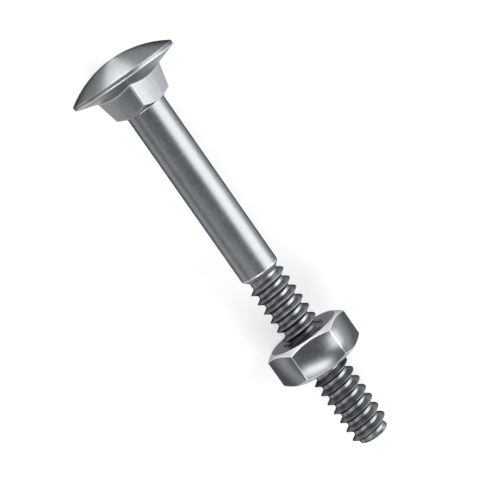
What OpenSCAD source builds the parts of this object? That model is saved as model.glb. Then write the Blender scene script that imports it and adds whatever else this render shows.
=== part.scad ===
// Carriage bolt with a domed head, a tapered square neck and a coarse right-hand thread,
// carrying one plain hex nut part-way along the thread.
// Each piece is drawn along its own axis, head first, with the lower edge of the head's rim
// at zero. lie() then puts both pieces down as they come to rest: on the rim of the head and
// on one flat of the nut, with the middle of the part's footprint at the origin.

/* [Head] */
// Diameter across the head
head_d = 16; // [12.5:0.1:20]
// Rise of the dome above its rim
dome_rise = 2.42; // [1.5:0.02:4]
// Height of the blunt rim
rim_h = 0.62; // [0.3:0.02:1.5]
// Slope of the underside, from the rim in to the neck
underside_angle = 17.5; // [8:0.5:24]

/* [Neck] */
// Width across the flats of the square neck, level with the rim's lower edge
neck_top_w = 7.55; // [7.2:0.05:9]
// How far the flats of the neck stand out from the shank at the neck's far end
neck_step = 0.03; // [0.02:0.01:0.3]
// Length from the rim's lower edge to the far end of the neck
neck_l = 4.9; // [4:0.1:8]
// Slope of the turned bevel that runs the neck's corners out into the shank
neck_bevel_angle = 24; // [15:1:35]

/* [Shank] */
// Diameter of the plain shank
shank_d = 5.85; // [5:0.05:7]
// Length from the rim's lower edge to the tip
bolt_l = 60; // [50:0.5:90]
// Length of the threaded end, up to the bevel that closes the plain shank
thread_l = 27.3; // [22:0.1:34]

/* [Thread] */
// Pitch of the single-start thread
pitch = 1.55; // [1:0.01:2]
// How far the crests lie below the surface of the shank
crest_drop = 0.01; // [0:0.005:0.2]
// Depth of the groove below the crests
thread_depth = 0.75; // [0.5:0.005:0.8]
// Share of the pitch that is the flat of the crest
crest_flat = 0.08; // [0.06:0.01:0.24]
// Share of the pitch that is the flat of the root
root_flat = 0.2; // [0.15:0.01:0.4]
// Angle about the axis at which the thread first rises from the root
thread_start = -70; // [-180:5:180]
// Angle over which the thread rises to its full height
runout_angle = 120; // [40:5:200]
// Depth of the 45 degree bevel at the tip, below the crests
tip_bevel = 0.885; // [0.8:0.005:1.2]

/* [Nut] */
// Width across the flats
nut_af = 11; // [10:0.1:13]
// Height, face to face
nut_h = 5.2; // [4:0.1:7]
// Distance from the tip back to the far face of the nut
nut_from_tip = 12.3; // [4:0.1:14]
// Diameter of the flat face inside the corner bevel, as a share of the width across flats
nut_face = 0.95; // [0.85:0.01:0.98]
// Slope of the turned bevel on the six corners
nut_bevel_angle = 30; // [15:1:40]
// Radial clearance between the nut's bore and the thread's crests
nut_gap = 0.05; // [0.03:0.01:0.08]
// Depth of the countersink at each end of the bore
countersink = 0.35; // [0.1:0.05:0.8]

/* [Hidden] */

bolt_steel = [0.36, 0.37, 0.38];
nut_steel = [0.34, 0.35, 0.36];

// Steps of the thread in one turn, and of the turned surfaces
turn_steps = 48;
round_steps = 96;
// How far the forms of one solid run into each other, and how far a cutter runs past a face
overlap = 0.3;
past = 1;

head_r = head_d / 2;
shank_r = shank_d / 2;
crest_r = shank_r - crest_drop;
root_r = crest_r - thread_depth;
tip_r = crest_r - tip_bevel;
head_h = dome_rise + rim_h;

// The dome is a cap of one sphere, through the apex and the rim's upper edge
dome_r = (head_r * head_r + dome_rise * dome_rise) / (2 * dome_rise);

// The shank ends in a 45 degree bevel, which stops just short of the root of the thread
thread_at = bolt_l - thread_l;
bevel_r = root_r + 0.05;
bevel_end = thread_at - (bevel_r - root_r);
shank_end = thread_at - (shank_r - root_r);

// The nut's turned bevel, and how far in from the face it meets the middle of each flat
nut_at = bolt_l - nut_from_tip - nut_h;
nut_face_r = nut_face * nut_af / 2;
nut_corner_r = nut_af / 2 / cos(30);
flat_edge = (nut_af / 2 - nut_face_r) * tan(nut_bevel_angle);

// At rest the axis falls from the head to the tip, because the head stands taller than the nut
tilt = atan((head_r - nut_af / 2) / (nut_at + nut_h - flat_edge));
rest_z = head_r * cos(tilt);
reach_back = dome_r - (dome_r - head_h) * cos(tilt);
reach_front = bolt_l * cos(tilt) + tip_r * sin(tilt);
rest_x = (reach_back - reach_front) / 2;

// Puts a piece that is drawn along +Z down at rest, with its own +X side facing the ground
module lie() {
    translate([rest_x, 0, rest_z])
        rotate([0, 90 + tilt, 0])
            children();
}

// Head: a spherical cap on a short rim, closed below by a shallow cone
module head() {
    intersection() {
        translate([0, 0, dome_r - head_h])
            sphere(r = dome_r, $fn = round_steps);
        rotate_extrude($fn = round_steps)
            polygon([
                [0, -head_h - past],
                [head_r, -head_h - past],
                [head_r, 0],
                [0, head_r * tan(underside_angle)],
            ]);
    }
}

// Two opposite sides of the neck, which close in towards the shank and run on into it
module neck_sides() {
    top = neck_top_w / 2;
    low = shank_r + neck_step - overlap * (top - shank_r - neck_step) / neck_l;
    rotate([90, 0, 0])
        linear_extrude(height = 2 * neck_top_w, center = true)
            polygon([
                [-top, 0],
                [top, 0],
                [low, neck_l + overlap],
                [-low, neck_l + overlap],
            ]);
}

// Square neck, corner up, with its far corners turned away by a cone
module neck() {
    fall = tan(neck_bevel_angle);
    intersection() {
        rotate([0, 0, 45])
            neck_sides();
        rotate([0, 0, -45])
            neck_sides();
        rotate_extrude($fn = round_steps)
            polygon([
                [0, -past],
                [neck_top_w, -past],
                [neck_top_w, neck_l - (neck_top_w - shank_r) * fall],
                [shank_r - overlap / fall, neck_l + overlap],
                [0, neck_l + overlap],
            ]);
    }
}

// Plain shank, with its bevel down to the thread
module shank() {
    rotate_extrude($fn = round_steps)
        polygon([
            [0, 0],
            [shank_r, 0],
            [shank_r, shank_end],
            [bevel_r, bevel_end],
            [0, bevel_end],
        ]);
}

// The thread is one skin, wound as a strip. A step i runs round and along the helix, and a
// corner j runs up the profile: root, crest, crest, next root. The last corner of one turn is
// the first of the next. Where the strip passes an end, its points close onto that end's ring.
corners = 4;
flank = (1 - crest_flat - root_flat) / 2;
corner_at = [0, flank, flank + crest_flat, 2 * flank + crest_flat, 1];
strip_steps = turn_steps * (ceil((thread_l + overlap) / pitch) + 1);
// The root of the thread runs a little way back into the shank
thread_from = thread_at - overlap;
// Turns of the strip before its crest passes the start of the thread, at thread_start
lead_turns = 1 - corner_at[1] - crest_flat / 2 + overlap / pitch;

function step_angle(i) = thread_start + 360 * (i / turn_steps - lead_turns);
function corner_z(i, j) = thread_from + pitch * (i / turn_steps - 1 + corner_at[j]);
function inside_ends(z) = z > thread_from + 0.001 && z < bolt_l - 0.001;

// The crest rises over the run-out, and the bevel at the tip cuts everything down
function crest_at(i) =
    let (share = (step_angle(i) - thread_start) / runout_angle)
    root_r + thread_depth * min(1, max(0, share));
function corner_r(i, j) =
    let (full = (j == 1 || j == 2) ? crest_at(i) : root_r)
    min(full, tip_r + bolt_l - corner_z(i, j));
function ring_point(i, r, z) = [r * cos(step_angle(i)), r * sin(step_angle(i)), z];

// Each corner's place in the list of points, closed onto an end's ring past that end
function corner_index(i, j) =
    j == corners ? corner_index(i + turn_steps, 0)
    : inside_ends(corner_z(i, j)) ? 2 * turn_steps + i * corners + j
    : corner_z(i, j) < thread_at ? i % turn_steps
    : turn_steps + i % turn_steps;
function distinct(t) = t[0] != t[1] && t[1] != t[2] && t[2] != t[0];

// Points of the two end rings, then the strip, then the middle of each end
strip_count = corners * (strip_steps + 1);
start_hub = 2 * turn_steps + strip_count;
tip_hub = start_hub + 1;
thread_points = [
    for (i = [0:turn_steps - 1]) ring_point(i, root_r, thread_from),
    for (i = [0:turn_steps - 1]) ring_point(i, tip_r, bolt_l),
    for (i = [0:strip_steps])
        for (j = [0:corners - 1])
            ring_point(i, corner_r(i, j), corner_z(i, j)),
    [0, 0, thread_from],
    [0, 0, bolt_l],
];
thread_faces = [
    for (i = [0:strip_steps - 1])
        for (j = [0:corners - 1])
            let (
                a = corner_index(i, j),
                b = corner_index(i + 1, j),
                c = corner_index(i + 1, j + 1),
                d = corner_index(i, j + 1)
            )
            for (t = [[a, c, b], [a, d, c]])
                if (distinct(t)) t,
    for (i = [0:turn_steps - 1])
        [i, (i + 1) % turn_steps, start_hub],
    for (i = [0:turn_steps - 1])
        [turn_steps + (i + 1) % turn_steps, turn_steps + i, tip_hub],
];

module thread() {
    polyhedron(points = thread_points, faces = thread_faces, convexity = 10);
}

// One-piece bolt
module bolt() {
    color(bolt_steel)
        lie() {
            head();
            neck();
            shank();
            thread();
        }
}

// Hexagon of the nut, turned away at the corners of both faces
module nut_blank() {
    outer_r = nut_corner_r + past;
    bevel_h = (outer_r - nut_face_r) * tan(nut_bevel_angle);
    intersection() {
        rotate([0, 0, 30])
            cylinder(r = nut_corner_r, h = nut_h, $fn = 6);
        rotate_extrude($fn = round_steps)
            polygon([
                [0, 0],
                [nut_face_r, 0],
                [outer_r, bevel_h],
                [outer_r, nut_h - bevel_h],
                [nut_face_r, nut_h],
                [0, nut_h],
            ]);
    }
}

// Bore through the nut, with a 45 degree countersink at each face
module nut_bore() {
    bore_r = crest_r + nut_gap;
    wide_r = bore_r + countersink + past;
    rotate_extrude($fn = round_steps)
        polygon([
            [0, -past],
            [wide_r, -past],
            [bore_r, countersink],
            [bore_r, nut_h - countersink],
            [wide_r, nut_h + past],
            [0, nut_h + past],
        ]);
}

// Hex nut with one flat to the ground
module nut() {
    color(nut_steel)
        lie()
            translate([0, 0, nut_at])
                difference() {
                    nut_blank();
                    nut_bore();
                }
}

bolt();
nut();
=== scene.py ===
"""The looks of a carriage bolt with its nut: plain satin steel that lies on a pale floor.

Each piece is drawn in its own frame, in millimetres, along +Z from the head to the tip, with the
lower edge of the head's rim at zero and its own -X side uppermost. LIE puts that frame down at
rest in the row frame.
"""

import math

import bmesh
import bpy
import numpy as np
from mathutils import Matrix, Vector


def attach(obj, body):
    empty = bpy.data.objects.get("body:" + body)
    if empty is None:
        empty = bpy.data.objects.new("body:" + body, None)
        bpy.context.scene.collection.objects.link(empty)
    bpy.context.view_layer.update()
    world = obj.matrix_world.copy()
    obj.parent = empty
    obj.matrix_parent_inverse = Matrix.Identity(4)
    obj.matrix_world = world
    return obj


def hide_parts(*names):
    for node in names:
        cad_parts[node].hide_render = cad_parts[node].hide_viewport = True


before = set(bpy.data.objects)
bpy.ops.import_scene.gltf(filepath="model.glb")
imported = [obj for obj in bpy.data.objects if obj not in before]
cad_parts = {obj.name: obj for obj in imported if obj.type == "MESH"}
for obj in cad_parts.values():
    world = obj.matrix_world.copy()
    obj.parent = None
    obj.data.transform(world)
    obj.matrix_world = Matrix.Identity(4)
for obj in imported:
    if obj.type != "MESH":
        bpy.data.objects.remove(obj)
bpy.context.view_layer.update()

MM = 0.001

# Sizes of the frame's solids, in millimetres, with slopes as tangents and angles in degrees
HEAD_R = 8.0
DOME_RISE = 2.42
RIM_H = 0.62
UNDERSIDE = math.tan(math.radians(17.5))
NECK_TOP = 7.55 / 2
NECK_STEP = 0.03
NECK_L = 4.9
NECK_BEVEL = math.tan(math.radians(24))
SHANK_R = 5.85 / 2
BOLT_L = 60.0
THREAD_AT = BOLT_L - 27.3
PITCH = 1.55
CREST_R = SHANK_R - 0.01
THREAD_DEPTH = 0.75
ROOT_R = CREST_R - THREAD_DEPTH
TIP_R = CREST_R - 0.885
THREAD_START = -70.0
RUNOUT = 120.0
NUT_FLAT = 5.5
NUT_H = 5.2
NUT_AT = BOLT_L - 12.3 - NUT_H
NUT_END = NUT_AT + NUT_H
NUT_FACE_R = 0.95 * NUT_FLAT
NUT_BEVEL = math.tan(math.radians(30))
NUT_GAP = 0.05
COUNTERSINK_R = CREST_R + NUT_GAP + 0.35

# Softer and finer forms than the solids have. The flats of the thread are shares of its pitch,
# the rounded corners are shares of their sides' distance from the axis, and the rest is in
# millimetres.
CREST_FLAT, ROOT_FLAT = 0.04, 0.30
CREST_SOFT, ROOT_SOFT, TIP_SOFT = 0.015, 0.10, 0.12
NECK_CORNER, NUT_CORNER = 0.07, 0.03
# How far above the bolt's root the crests of the nut's own thread stay
NUT_CREST = 0.17
# How far the bevel of the shank runs in below the root, and the thread back into the shank
BEVEL_IN, THREAD_IN = 0.25, 0.2
# How far the shading of the flat sides turns outwards at their borders
NECK_CROWN = 0.16
NUT_CROWN_ACROSS, NUT_CROWN_ALONG = 0.42, 0.55
# Painted wear and highlight on the corners: how bright, and over how many degrees it fades beside
# them
NECK_WEAR_AND_SHEEN, NECK_FADE = 0.15, 0.6
NUT_WEAR_AND_SHEEN, NUT_FADE = 0.55, 0.35

# How finely it is all drawn: points to a side and round the floor, rows to an arc, rows of the
# dome, and degrees between the points of the thread
NECK_POINTS, NUT_POINTS, FLOOR_POINTS = 64, 40, 128
BOLT_ARC, NUT_ARC, THREAD_ARC = 8, 6, 5
DOME_ROWS = 42
THREAD_TURN = 3.0
# A guard row lies this far from a rounded edge. An arc takes up at most the first share of the
# run beside it, and its guard row lies no further along than the second.
GUARD = 0.06
ARC_SHARE, GUARD_SHARE = 0.42, 0.48
# Points of a mesh that lie closer together than this, in metres, are one point
JOINED = 2e-7

# The steel's colours, its roughness, how far its marks run round the axis and how they are
# turned, and how much of its shine it keeps at a shallow angle
BOLT_STEEL = (0.222, 0.232, 0.242)
NUT_STEEL = (0.20, 0.209, 0.219)
# The bright colour painted on edges, partly as wear and partly as painted highlight
WEAR_AND_SHEEN_STEEL = (0.74, 0.76, 0.78)
HEAD_ROUGH, SHANK_ROUGH, THREAD_ROUGH, NUT_ROUGH = 0.46, 0.38, 0.36, 0.34
HEAD_MARKS, SHANK_MARKS, MARKS_TURN = 0.80, 0.15, 0.25
BOLT_EDGE, NECK_EDGE, NUT_EDGE, NUT_END_EDGE = 0.06, 0.9, 0.2, 0.5
# How much painted shade darkens the flanks of the thread against its crests and roots
FLANK_PAINTED_SHADE = 0.10
# Where along the axis the finish changes, from and to, in metres
PAST_RIM = (-0.6 * MM, 0.4 * MM)
PAST_NECK = ((NECK_L - 0.3) * MM, NECK_L * MM)
ONTO_THREAD = ((THREAD_AT - 0.8) * MM, THREAD_AT * MM)
# How far a surface faces along the axis where it begins to count as flank or end face, and
# where it fully does
FLANK_FACING = (0.2, 0.7)
END_FACING = (0.5, 0.9)
# Clouds and grains to the metre, how much of the steel's shade is grain, which span of the noise
# is used, how dark and light it makes the steel, and how far it changes the roughness
CLOUDS, GRAINS = 170, 2600
GRAIN_SHARE = 0.6
NOISE_LOW, NOISE_HIGH = 0.3, 0.7
DARKEST, LIGHTEST = 0.86, 1.14
UNEVEN = 0.05
# Strength of their bumps, and height in metres
CLOUD_BUMPS, GRAIN_BUMPS = (0.10, 0.0004), (0.12, 0.00002)

FLOOR_R = 0.22
FLOOR_DARKEST, FLOOR_LIGHTEST = 0.84, 0.86
FLOOR_CLOUDS = 9
FLOOR_ROUGH = 0.9
FLOOR_GLOW = 0.22
WORLD_GREY = (0.22, 0.231, 0.245)

# The rest pose: the axis falls from the head to the tip, and the footprint is centred
FLAT_EDGE = (NUT_FLAT - NUT_FACE_R) * NUT_BEVEL
TILT = math.atan((HEAD_R - NUT_FLAT) / (NUT_AT + NUT_H - FLAT_EDGE))
DOME_R = (HEAD_R**2 + DOME_RISE**2) / (2 * DOME_RISE)
HEAD_H = DOME_RISE + RIM_H
REACH_BACK = DOME_R - (DOME_R - HEAD_H) * math.cos(TILT)
REACH_FRONT = BOLT_L * math.cos(TILT) + TIP_R * math.sin(TILT)
REST = Vector(((REACH_BACK - REACH_FRONT) / 2, 0, HEAD_R * math.cos(TILT))) * MM
LIE_TURN = math.pi / 2 + TILT
LIE = Matrix.Translation(REST) @ Matrix.Rotation(LIE_TURN, 4, "Y")
AXIS = LIE.to_3x3() @ Vector((0, 0, 1))
OWN_X = LIE.to_3x3() @ Vector((1, 0, 0))


def ring_angles(sides, corner, per_side):
    """Angles round the axis, in radians, closest together at the corners of a polygon."""
    even = 0.2
    t = np.linspace(-1, 1, per_side, endpoint=False)
    half = 180 / sides
    one = half * (even * t + (1 - even) * t**3)
    return np.radians(np.concatenate([corner + 2 * half * s + one for s in range(sides)]))


def off_corner(angles, sides, corner):
    """The angle between each of angles and the nearest corner of a polygon, in radians."""
    half = math.pi / sides
    return np.abs((angles - math.radians(corner) + half) % (2 * half) - half)


def arc_end(sides, soft):
    """The angle between a polygon's corner and the end of its rounding, in radians."""
    half = math.pi / sides
    return half - math.atan((1 - soft) * math.tan(half))


def polygon_radius(angles, sides, corner, soft):
    """Radius of a polygon whose flats are at 1, with its corners rounded by the share soft."""
    half = math.pi / sides
    off = off_corner(angles, sides, corner)
    flat = 1 / np.cos(half - off)
    centre = (1 - soft) / math.cos(half)
    arc = centre * np.cos(off) + np.sqrt(np.maximum(soft**2 - (centre * np.sin(off)) ** 2, 0))
    return np.where(off < arc_end(sides, soft), arc, flat)


def corner_share(angles, sides, corner, soft, fade):
    """1 on a polygon's rounded corners, falling to 0 beside them over the angle fade, in degrees."""
    past_arc = off_corner(angles, sides, corner) - arc_end(sides, soft)
    return np.clip(1 - past_arc / math.radians(fade), 0, 1)


def rounded(corners, edges, steps, guard=GUARD):
    """Rows through corners, an array (corner, angle, 2), with an arc at each inner corner.

    Each of edges gives an inner corner's radius, how bright its arc is painted, as wear and as
    painted highlight, and how bright the run after it. A guard row on each side of an arc keeps
    bright and plain apart. Returns the rows and the painted brightness of each.
    """
    rows, wear_and_sheen, run_before = [corners[0]], [0.0], 0.0
    for before, here, after, edge in zip(corners, corners[1:], corners[2:], edges):
        radius, arc_bright, run_bright = edge
        back, on = before - here, after - here
        back_l = np.linalg.norm(back, axis=1, keepdims=True)
        on_l = np.linalg.norm(on, axis=1, keepdims=True)
        back, on = back / back_l, on / on_l
        half_turn = (math.pi - np.arccos(np.clip((back * on).sum(1), -1, 1))) / 2
        longest = ARC_SHARE * np.minimum(back_l, on_l)
        reach = np.minimum(radius * np.tan(half_turn)[:, None], longest)
        start, end = here + back * reach, here + on * reach
        weight = np.cos(half_turn)[:, None]
        if guard:
            rows.append(here + back * np.minimum(reach + guard, GUARD_SHARE * back_l))
            wear_and_sheen.append(run_before)
        for t in np.linspace(0, 1, steps):
            a, b, c = (1 - t) ** 2, 2 * weight * t * (1 - t), t**2
            rows.append((a * start + b * here + c * end) / (a + b + c))
            wear_and_sheen.append(arc_bright)
        if guard:
            rows.append(here + on * np.minimum(reach + guard, GUARD_SHARE * on_l))
            wear_and_sheen.append(run_bright)
        run_before = run_bright
    rows.append(corners[-1])
    wear_and_sheen.append(run_before)
    return np.array(rows), np.array(wear_and_sheen)


def outline_rows(outline, angles, steps):
    """Rounded rows (row, angle, [r, z]) of an outline, and how bright each is painted, as wear and
    highlight.

    An entry of the outline gives radius and height, each as one number or one for each angle.
    All but the first and the last entry go on with their edge, as rounded takes it.
    """
    ones = np.ones_like(angles)
    corners = [np.stack([r * ones, z * ones], 1) for r, z, *_ in outline]
    return rounded(np.array(corners), [edge for _, _, *edge in outline[1:-1]], steps)


def corner_wear_and_sheen(wear_and_sheen, bright, edges_before, steps):
    """Painted brightness of wear and highlight (row, angle), with bright, one for each angle, on one
    run between two edges.

    The run comes after edges_before edges, and its rows are the guard rows at its two ends.
    """
    shares = wear_and_sheen[:, None] + np.zeros(len(bright))
    first = edges_before * (steps + 2)
    shares[first : first + 2] = np.maximum(shares[first : first + 2], bright)
    return shares


def rings_skin(rows, angles):
    """Points and faces of rings (row, angle, [r, z]) that close round the axis."""
    r, z = rows[..., 0], rows[..., 1]
    points = np.stack([r * np.cos(angles), r * np.sin(angles), z], axis=-1).reshape(-1, 3)
    count, cols = r.shape
    faces = []
    for i in range(0, (count - 1) * cols, cols):
        for k in range(cols):
            j = (k + 1) % cols
            faces.append((i + k, i + j, i + cols + j, i + cols + k))
    return points, faces


def thread_profile():
    """Shares of the pitch and of the depth, root to root, for one turn of the thread's form."""
    flank = (1 - CREST_FLAT - ROOT_FLAT) / 2
    places = [0, ROOT_FLAT / 2, ROOT_FLAT / 2 + flank, 0.5]
    heights = [0, 0, THREAD_DEPTH, THREAD_DEPTH]
    half = np.array([[[place * PITCH, height]] for place, height in zip(places, heights)])
    edges = [(ROOT_SOFT, 0, 0), (CREST_SOFT, 0, 0)]
    half = rounded(half, edges, THREAD_ARC, guard=0)[0][:, 0]
    other = np.array([PITCH, 0]) + half[-2:0:-1] * np.array([-1, 1])
    both = np.concatenate([half, other])
    return both[:, 0] / PITCH, both[:, 1] / THREAD_DEPTH


def helix_skin(angles, z_low, z_high, radius, outward):
    """A skin whose rows follow the thread. radius(turn_angle, height, z) gives its radius.

    turn_angle counts in degrees from where the crest would pass the thread's start, and height
    is a share of the thread's depth.
    """
    share, height = thread_profile()
    per_turn = len(share)
    # the rows start before z_low and end after z_high, and are then kept between the two
    first = int(np.floor((z_low - THREAD_AT) / PITCH)) - 1
    turns = int(np.ceil((z_high - z_low) / PITCH)) + 3
    start = (np.degrees(angles) - THREAD_START)[None, :]
    turn = (first + np.arange(turns * per_turn) // per_turn)[:, None]
    turn_angle = start + 360 * turn
    z = THREAD_AT + PITCH * (turn_angle / 360 + np.tile(share, turns)[:, None] - 0.5)
    kept = np.clip(z, z_low, z_high)
    r = radius(turn_angle, np.tile(height, turns)[:, None] + 0 * start, kept)
    points = np.stack([r * np.cos(angles), r * np.sin(angles), kept], axis=-1).reshape(-1, 3)
    rows, cols = r.shape
    low, high = z <= z_low, z >= z_high
    faces = []
    for i in range(rows - 1):
        for k in range(cols):
            # past the seam, the next angle's points lie one turn of rows further on
            j, on = (k + 1, 0) if k + 1 < cols else (0, per_turn)
            if i + 1 + on >= rows:
                continue
            four = [(i, k), (i + on, j), (i + 1 + on, j), (i + 1, k)]
            if all(low[p] for p in four) or all(high[p] for p in four):
                continue
            face = [row * cols + col for row, col in four]
            faces.append(tuple(face if outward else face[::-1]))
    return points, faces


def disc(radius, z, angles):
    """Points and faces of a flat disc that faces the tip."""
    ring = [(radius * math.cos(a), radius * math.sin(a), z) for a in angles]
    count = len(angles)
    faces = [(0, 1 + k, 1 + (k + 1) % count) for k in range(count)]
    return np.array([(0, 0, z)] + ring), faces


def no_wear_or_sheen(skin):
    """A skin with no painted wear or highlight anywhere."""
    points, faces = skin
    return points, faces, np.zeros(len(points))


def bolt_skins():
    """The head, neck and shank, the thread that starts inside the shank, and the tip's face."""
    sides, corner = 4, 0
    angles = ring_angles(sides, corner, NECK_POINTS)
    side = polygon_radius(angles, sides, corner, NECK_CORNER)
    # how fast the neck closes in, and how high its sides meet the underside and its own bevel
    close = (NECK_TOP - SHANK_R - NECK_STEP) / NECK_L
    top = (HEAD_R - side * NECK_TOP) * UNDERSIDE / (1 - side * close * UNDERSIDE)
    far = (SHANK_R + NECK_L / NECK_BEVEL - side * NECK_TOP) / (1 / NECK_BEVEL - side * close)
    bevel_at = THREAD_AT - SHANK_R + ROOT_R
    bevel_end = THREAD_AT + BEVEL_IN
    swings = math.asin(HEAD_R / DOME_R) * np.linspace(0, 1, DOME_ROWS)[:-1]
    dome = [(DOME_R * math.sin(a), DOME_R - HEAD_H - DOME_R * math.cos(a)) for a in swings]
    # radius, height, and for each edge its rounding, its painted brightness of wear and highlight,
    # and that of the run after it
    outline = [
        dome[-1],
        (HEAD_R, -RIM_H, 0.3, 0.2, 0),
        (HEAD_R, 0, 0.22, 0.45, 0),
        (side * (NECK_TOP - close * top), top, 0.28, 0.2, 0),
        (side * (NECK_TOP - close * far), far, 0.2, 0.2, 0),
        (SHANK_R, NECK_L, 0.25, 0.1, 0),
        (SHANK_R, bevel_at, 0.3, 0.5, 0.45),
        (ROOT_R - BEVEL_IN, bevel_end, 0.02, 0, 0),
        (0, bevel_end),
    ]
    rows, wear_and_sheen = outline_rows(outline, angles, BOLT_ARC)
    bright = NECK_WEAR_AND_SHEEN * corner_share(angles, sides, corner, NECK_CORNER, NECK_FADE)
    shares = corner_wear_and_sheen(wear_and_sheen, bright, edges_before=3, steps=BOLT_ARC)
    # all the rows of the dome take the place of the outline's first one
    ones = np.ones_like(angles)
    dome_rows = np.array([np.stack([r * ones, z * ones], 1) for r, z in dome])
    shares = np.concatenate([np.zeros((len(dome), len(angles))), shares[1:]])
    body = rings_skin(np.concatenate([dome_rows, rows[1:]]), angles)

    def radius(turn_angle, height, z):
        """The crest rises over the run-out, and the bevel at the tip cuts everything down."""
        rise = np.clip(turn_angle / RUNOUT, 0, 1)
        from_end = np.maximum(BOLT_L - z, 0)
        soft = TIP_SOFT / 2 * np.maximum(1 - from_end / TIP_SOFT, 0) ** 2
        return np.minimum(ROOT_R + THREAD_DEPTH * height * rise, TIP_R + from_end - soft)

    turn = np.radians(np.arange(0, 360, THREAD_TURN))
    thread = helix_skin(turn, THREAD_AT - THREAD_IN, BOLT_L, radius, outward=True)
    tip = disc(TIP_R - TIP_SOFT / 2, BOLT_L, turn)
    return [(*body, shares.ravel()), no_wear_or_sheen(thread), no_wear_or_sheen(tip)]


def nut_skins():
    """The outside of the nut, and its bore with an internal thread that follows the bolt's."""
    sides, corner = 6, 30
    angles = ring_angles(sides, corner, NUT_POINTS)
    side = NUT_FLAT * polygon_radius(angles, sides, corner, NUT_CORNER)
    cut = (side - NUT_FACE_R) * NUT_BEVEL
    # radius, height, and for each edge its rounding, its painted brightness of wear and highlight,
    # and that of the run after it
    outline = [
        (COUNTERSINK_R, NUT_AT),
        (NUT_FACE_R, NUT_AT, 0.1, 0.8, 0.55),
        (side, NUT_AT + cut, 0.14, 0.8, 0),
        (side, NUT_END - cut, 0.14, 0.8, 0.55),
        (NUT_FACE_R, NUT_END, 0.1, 0.8, 0),
        (COUNTERSINK_R, NUT_END),
    ]
    rows, wear_and_sheen = outline_rows(outline, angles, NUT_ARC)
    bright = NUT_WEAR_AND_SHEEN * corner_share(angles, sides, corner, NUT_CORNER, NUT_FADE)
    shares = corner_wear_and_sheen(wear_and_sheen, bright, edges_before=2, steps=NUT_ARC)

    def radius(turn_angle, height, z):
        """The groove clears the bolt's thread, and a countersink opens it at both faces."""
        groove = ROOT_R + np.maximum(NUT_GAP + THREAD_DEPTH * height, NUT_CREST)
        from_face = np.minimum(z - NUT_AT, NUT_END - z)
        return np.maximum(groove, COUNTERSINK_R - from_face)

    bore = helix_skin(angles, NUT_AT, NUT_END, radius, outward=False)
    return [(*rings_skin(rows, angles), shares.ravel()), no_wear_or_sheen(bore)]


def joined_mesh(name, skins):
    """One mesh of several skins, at rest in the row frame and joined where they touch."""
    points, faces, bright = [], [], []
    for skin_points, skin_faces, skin_bright in skins:
        first = sum(len(p) for p in points)
        points.append(skin_points)
        bright.append(skin_bright)
        faces += [tuple(first + i for i in face) for face in skin_faces]
    mesh = bpy.data.meshes.new(name)
    mesh.from_pydata((np.concatenate(points) * MM).tolist(), [], faces)
    # the brightness painted on edges for each point, partly as wear and partly as painted highlight
    wear_and_sheen = mesh.attributes.new("wear_and_sheen", "FLOAT", "POINT")
    wear_and_sheen.data.foreach_set("value", np.concatenate(bright).astype(np.float32))
    bm = bmesh.new()
    bm.from_mesh(mesh)
    bmesh.ops.remove_doubles(bm, verts=bm.verts, dist=JOINED)
    loose = [v for v in bm.verts if not v.link_faces]
    bmesh.ops.delete(bm, geom=loose, context="VERTS")
    bm.to_mesh(mesh)
    bm.free()
    mesh.transform(LIE)
    mesh.validate()
    return mesh


def large_face_normals(mesh):
    """A normal for each point, led by the larger faces round it."""
    corners = np.zeros(len(mesh.loops), np.int64)
    mesh.loops.foreach_get("vertex_index", corners)
    totals = np.zeros(len(mesh.polygons), np.int64)
    mesh.polygons.foreach_get("loop_total", totals)
    facing = np.zeros(len(mesh.polygons) * 3)
    mesh.polygons.foreach_get("normal", facing)
    area = np.zeros(len(mesh.polygons))
    mesh.polygons.foreach_get("area", area)
    weighed = facing.reshape(-1, 3) * area[:, None]
    normals = np.zeros((len(mesh.vertices), 3))
    np.add.at(normals, corners, np.repeat(weighed, totals, axis=0))
    not_zero = 1e-20
    return normals / np.maximum(np.linalg.norm(normals, axis=1, keepdims=True), not_zero)


def crowned(places, normals, sides, first, flat, low, high, across_by, along_by):
    """Normals that turn outwards from the middle of each side of a prism, as worn sides shine.

    The sides lie at flat from the axis, between low and high along it, the first of them at the
    angle first, in degrees. This changes the shading alone.
    """
    axis, side = np.array(AXIS), np.array(OWN_X)
    across = np.cross(axis, side)
    own = (places - np.array(REST)) / MM
    along = own @ axis
    out = own - along[:, None] * axis
    step, start = 2 * math.pi / sides, math.radians(first)
    middle = np.round((np.arctan2(out @ across, out @ side) - start) / step) * step + start
    facing = np.cos(middle)[:, None] * side + np.sin(middle)[:, None] * across
    round_way = np.cross(axis, facing)
    aside = (out * round_way).sum(1) / (flat * math.tan(step / 2))
    off = (2 * along - low - high) / (high - low)
    # a point counts when it is no deeper than this, faces the ends less than this, and lies no
    # further past low and high than this
    depth, end_on, past = 0.2, 0.25, 0.01
    chosen = (np.linalg.norm(out, axis=1) > flat - depth) & (np.abs(normals @ axis) < end_on)
    chosen &= (along > low - past) & (along < high + past)
    tilt = across_by * aside[:, None] * round_way + along_by * off[:, None] * axis
    normals = normals + chosen[:, None] * tilt
    return normals / np.linalg.norm(normals, axis=1, keepdims=True)


def make_piece(name, skins, material, **crowned_sides):
    """A smooth piece of the scene. crowned_sides describes its sides for crowned."""
    mesh = joined_mesh(name, skins)
    places = np.zeros(len(mesh.vertices) * 3)
    mesh.vertices.foreach_get("co", places)
    normals = crowned(places.reshape(-1, 3), large_face_normals(mesh), **crowned_sides)
    mesh.polygons.foreach_set("use_smooth", np.ones(len(mesh.polygons), bool))
    mesh.normals_split_custom_set_from_vertices(normals.tolist())
    mesh.materials.append(material)
    obj = bpy.data.objects.new(name, mesh)
    bpy.context.scene.collection.objects.link(obj)
    return obj


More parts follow.
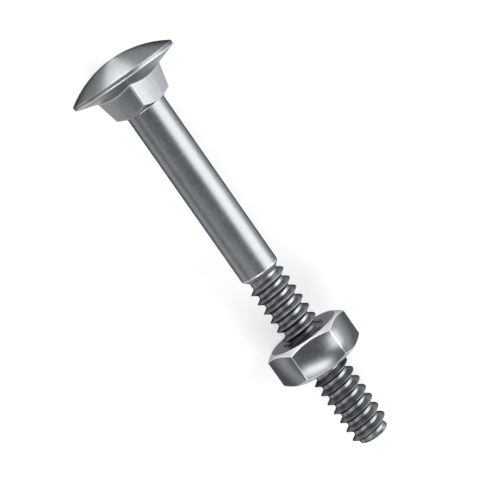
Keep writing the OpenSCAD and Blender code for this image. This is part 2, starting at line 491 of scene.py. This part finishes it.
class Nodes:
    """Short forms for the nodes of one material, whose textures follow the pieces' own frame."""

    def __init__(self, name):
        """Starts a material with its shader, and the place of each point in the own frame."""
        self.material = bpy.data.materials.new(name)
        self.material.use_nodes = True
        self.tree = self.material.node_tree
        self.shader = self.tree.nodes["Principled BSDF"]
        coords = self.node("ShaderNodeTexCoord")
        lie = {"Location": REST, "Rotation": (0, LIE_TURN, 0)}
        own = self.node("ShaderNodeMapping", lie, vector_type="TEXTURE")
        self.link(coords.outputs["Object"], own.inputs["Vector"])
        self.place = own.outputs[0]

    def link(self, a, b):
        """Joins the output a to the input b."""
        self.tree.links.new(a, b)

    def node(self, kind, values=(), **settings):
        """A new node, with its settings and the values of its inputs."""
        made = self.tree.nodes.new(kind)
        for key, value in settings.items():
            setattr(made, key, value)
        for socket, value in dict(values).items():
            made.inputs[socket].default_value = value
        return made

    def noise(self, scale, detail):
        """Noise from 0 to 1."""
        texture = self.node("ShaderNodeTexNoise", {"Scale": scale, "Detail": detail})
        self.link(self.place, texture.inputs["Vector"])
        return texture.outputs["Fac"]

    def ranged(self, value, low, high, to_low, to_high):
        """The value, taken from one range to another and kept inside it."""
        ends = {"From Min": low, "From Max": high, "To Min": to_low, "To Max": to_high}
        made = self.node("ShaderNodeMapRange", ends)
        self.link(value, made.inputs["Value"])
        return made.outputs[0]

    def math(self, operation, *values):
        """A sum, product or the like of numbers and outputs."""
        made = self.node("ShaderNodeMath", operation=operation)
        for socket, value in zip(made.inputs, values):
            if isinstance(value, (int, float)):
                socket.default_value = value
            else:
                self.link(value, socket)
        return made.outputs[0]

    def less(self, value, share, by):
        """The value, less the share times by."""
        return self.math("SUBTRACT", value, self.math("MULTIPLY", share, by))

    def ramp(self, value, dark, light):
        """A colour that runs from dark to light over the used span of the noise."""
        made = self.node("ShaderNodeValToRGB")
        stops = (NOISE_LOW, dark), (NOISE_HIGH, light)
        for point, (place, colour) in zip(made.color_ramp.elements, stops):
            point.position = place
            point.color = (*colour, 1)
        self.link(value, made.inputs[0])
        return made.outputs[0]

    def mixed(self, share, a, b):
        """The colour of the output a, turning to the colour b by share."""
        made = self.node("ShaderNodeMix", data_type="RGBA")
        self.link(share, made.inputs[0])
        self.link(a, made.inputs[6])
        made.inputs[7].default_value = (*b, 1)
        return made.outputs[2]

    def scaled(self, colour, by):
        """A colour times the output by."""
        made = self.node("ShaderNodeVectorMath", operation="SCALE")
        self.link(colour, made.inputs[0])
        self.link(by, made.inputs["Scale"])
        return made.outputs[0]

    def own_place(self):
        """The three coordinates in the own frame, in metres."""
        split = self.node("ShaderNodeSeparateXYZ")
        self.link(self.place, split.inputs[0])
        return split.outputs

    def around(self):
        """The direction round the axis, in the row frame."""
        x, y, _ = self.own_place()
        joined = self.node("ShaderNodeCombineXYZ")
        self.link(self.math("MULTIPLY", y, -1.0), joined.inputs[0])
        self.link(x, joined.inputs[1])
        lie = {"Rotation": (0, LIE_TURN, 0)}
        made = self.node("ShaderNodeMapping", lie, vector_type="VECTOR")
        self.link(joined.outputs[0], made.inputs["Vector"])
        return made.outputs[0]

    def end_on(self):
        """How far the surface faces along the axis, either way, from 0 to 1."""
        shape = self.node("ShaderNodeNewGeometry")
        facing = self.node("ShaderNodeVectorMath", operation="DOT_PRODUCT")
        self.link(shape.outputs["Normal"], facing.inputs[0])
        facing.inputs[1].default_value = AXIS
        return self.math("ABSOLUTE", facing.outputs["Value"])

    def bump(self, height, strength, distance, under=None):
        """Bumps of the output height, on top of the bumps under them."""
        made = self.node("ShaderNodeBump", {"Strength": strength, "Distance": distance})
        self.link(height, made.inputs["Height"])
        if under is not None:
            self.link(under, made.inputs["Normal"])
        return made.outputs[0]


def steel(name, base):
    """Plain steel with faint clouds and fine grain, painted bright along its edges, partly as wear
    and partly as painted highlight.

    Returns its nodes, its colour and its unevenness. The caller links both to the shader.
    """
    n = Nodes(name)
    n.shader.inputs["Metallic"].default_value = 1.0
    cloud = n.noise(CLOUDS, detail=3)
    grain = n.noise(GRAINS, detail=5)
    cloud_part = n.math("MULTIPLY", cloud, 1 - GRAIN_SHARE)
    shade = n.math("ADD", cloud_part, n.math("MULTIPLY", grain, GRAIN_SHARE))
    dark, light = [tuple(tone * c for c in base) for tone in (DARKEST, LIGHTEST)]
    wear_and_sheen = n.node("ShaderNodeAttribute", attribute_name="wear_and_sheen")
    # edges painted bright, partly as wear and partly as painted highlight
    colour = n.mixed(wear_and_sheen.outputs["Fac"], n.ramp(shade, dark, light), WEAR_AND_SHEEN_STEEL)
    waves = n.bump(cloud, *CLOUD_BUMPS)
    n.link(n.bump(grain, *GRAIN_BUMPS, under=waves), n.shader.inputs["Normal"])
    return n, colour, n.ranged(shade, NOISE_LOW, NOISE_HIGH, -UNEVEN, UNEVEN)


def bolt_material():
    """Steel with a turned head, a drawn shank, and a rolled thread with painted shade on its flanks.
    """
    n, colour, uneven = steel("bolt_steel", BOLT_STEEL)
    along = n.own_place()[2]
    past_rim = n.ranged(along, *PAST_RIM, 0, 1)
    past_neck = n.ranged(along, *PAST_NECK, 0, 1)
    on_thread = n.ranged(along, *ONTO_THREAD, 0, 1)
    rough = n.less(HEAD_ROUGH, past_rim, HEAD_ROUGH - SHANK_ROUGH)
    rough = n.less(rough, on_thread, SHANK_ROUGH - THREAD_ROUGH)
    n.link(n.math("ADD", rough, uneven), n.shader.inputs["Roughness"])
    marks = n.less(HEAD_MARKS, past_rim, HEAD_MARKS - SHANK_MARKS)
    marks = n.less(marks, on_thread, SHANK_MARKS)
    n.link(marks, n.shader.inputs["Anisotropic"])
    n.shader.inputs["Anisotropic Rotation"].default_value = MARKS_TURN
    n.link(n.around(), n.shader.inputs["Tangent"])
    # the underside of the head and the neck, which stay as forged, shine more at a shallow angle
    forged = n.math("SUBTRACT", past_rim, past_neck)
    forged = n.math("MULTIPLY", forged, NECK_EDGE - BOLT_EDGE)
    n.link(n.math("ADD", forged, BOLT_EDGE), n.shader.inputs["Specular Tint"])
    # painted shade: the base colour is darker on the thread's flanks, which face along the axis
    flank = n.ranged(n.end_on(), *FLANK_FACING, 0, FLANK_PAINTED_SHADE)
    shaded = n.scaled(colour, n.less(1.0, flank, on_thread))
    n.link(shaded, n.shader.inputs["Base Color"])
    return n.material


def nut_material():
    """Steel whose end faces shine more at a shallow angle than its sides."""
    n, colour, uneven = steel("nut_steel", NUT_STEEL)
    n.link(colour, n.shader.inputs["Base Color"])
    n.link(n.math("ADD", uneven, NUT_ROUGH), n.shader.inputs["Roughness"])
    edge = n.ranged(n.end_on(), *END_FACING, NUT_EDGE, NUT_END_EDGE)
    n.link(edge, n.shader.inputs["Specular Tint"])
    return n.material


def floor_material():
    """A matt, pale floor with faint clouds."""
    n = Nodes("pale_floor")
    n.shader.inputs["Roughness"].default_value = FLOOR_ROUGH
    n.shader.inputs["Specular IOR Level"].default_value = 0.0
    clouds = n.noise(FLOOR_CLOUDS, detail=2)
    tone = n.ramp(clouds, (FLOOR_DARKEST,) * 3, (FLOOR_LIGHTEST,) * 3)
    n.link(tone, n.shader.inputs["Base Color"])
    # the paleness of the floor as it is seen, in view and in reflections, with the shadow kept
    path = n.node("ShaderNodeLightPath")
    seen = n.math("ADD", path.outputs["Is Camera Ray"], path.outputs["Is Glossy Ray"])
    seen = n.math("ADD", seen, path.outputs["Is Transmission Ray"])
    n.shader.inputs["Emission Color"].default_value = (1, 1, 1, 1)
    n.link(n.math("MULTIPLY", seen, FLOOR_GLOW), n.shader.inputs["Emission Strength"])
    return n.material


def softbox(name, azimuth, elevation, distance, wide, high, radiance):
    """A soft panel that faces the bolt. Azimuth is from +X towards +Y, in degrees."""
    a, e = math.radians(azimuth), math.radians(elevation)
    light = bpy.data.lights.new(name, "AREA")
    light.shape = "RECTANGLE"
    light.size = wide
    light.size_y = high
    light.energy = radiance * math.pi * wide * high
    obj = bpy.data.objects.new(name, light)
    bpy.context.scene.collection.objects.link(obj)
    back = Vector((math.cos(a) * math.cos(e), math.sin(a) * math.cos(e), math.sin(e)))
    side = Vector((-math.sin(a), math.cos(a), 0))
    turn = Matrix((side, back.cross(side), back)).transposed()
    obj.matrix_world = Matrix.Translation(back * distance) @ turn.to_4x4()
    obj.visible_camera = False


def look():
    """The photograph's view: from nearly straight above, a little from the head's side."""
    # how far off the camera is and where it aims, along and beside the axis, in millimetres,
    # then its lean towards the head and its roll, in degrees, and its lens
    distance, along, aside = 249.6, 26.939, 0.211
    lean, roll, lens = math.radians(8.3216), math.radians(-34.964), 137.8
    out, side = -OWN_X, Vector((0, 1, 0))
    forward = AXIS * math.sin(lean) - out * math.cos(lean)
    head_up = -AXIS * math.cos(lean) - out * math.sin(lean)
    right = side * math.cos(roll) + head_up * math.sin(roll)
    up = -side * math.sin(roll) + head_up * math.cos(roll)
    target = REST + (AXIS * along + side * aside) * MM
    data = bpy.data.cameras.new("camera")
    data.lens = lens
    data.sensor_width = 36
    data.clip_start = 0.01
    data.clip_end = 10
    camera = bpy.data.objects.new("camera", data)
    bpy.context.scene.collection.objects.link(camera)
    turn = Matrix((right, up, -forward)).transposed()
    camera.matrix_world = Matrix.Translation(target - forward * distance * MM) @ turn.to_4x4()
    bpy.context.scene.camera = camera


bolt_steel = bolt_material()
nut_steel = nut_material()

bolt = make_piece(
    "bolt_form",
    bolt_skins(),
    bolt_steel,
    sides=4,
    first=45,
    flat=(NECK_TOP + SHANK_R) / 2,
    low=0.3,
    high=NECK_L - 0.05,
    across_by=NECK_CROWN,
    along_by=0,
)
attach(bolt, "bolt")
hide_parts("bolt")

nut = make_piece(
    "nut_form",
    nut_skins(),
    nut_steel,
    sides=6,
    first=0,
    flat=NUT_FLAT,
    low=NUT_AT,
    high=NUT_END,
    across_by=NUT_CROWN_ACROSS,
    along_by=NUT_CROWN_ALONG,
)
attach(nut, "nut")
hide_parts("nut")

bpy.ops.mesh.primitive_circle_add(
    vertices=FLOOR_POINTS, radius=FLOOR_R, fill_type="NGON", location=(0, 0, 0)
)
floor = bpy.context.object
floor.name = "floor"
floor.data.materials.append(floor_material())

world = bpy.data.worlds.new("studio")
bpy.context.scene.world = world
world.use_nodes = True
background = world.node_tree.nodes["Background"]
background.inputs["Color"].default_value = (*WORLD_GREY, 1)
background.inputs["Strength"].default_value = 1.0

softbox("key", azimuth=82, elevation=26, distance=0.40, wide=0.32, high=0.50, radiance=4.6)
softbox("fill", azimuth=-95, elevation=32, distance=0.42, wide=0.50, high=0.18, radiance=0.7)
softbox(
    "head_light", azimuth=185, elevation=11, distance=0.36, wide=0.22, high=0.13, radiance=17.0
)
softbox("tip_light", azimuth=-20, elevation=40, distance=0.40, wide=0.40, high=0.16, radiance=6.2)

look()
bpy.context.scene.view_settings.view_transform = "Standard"
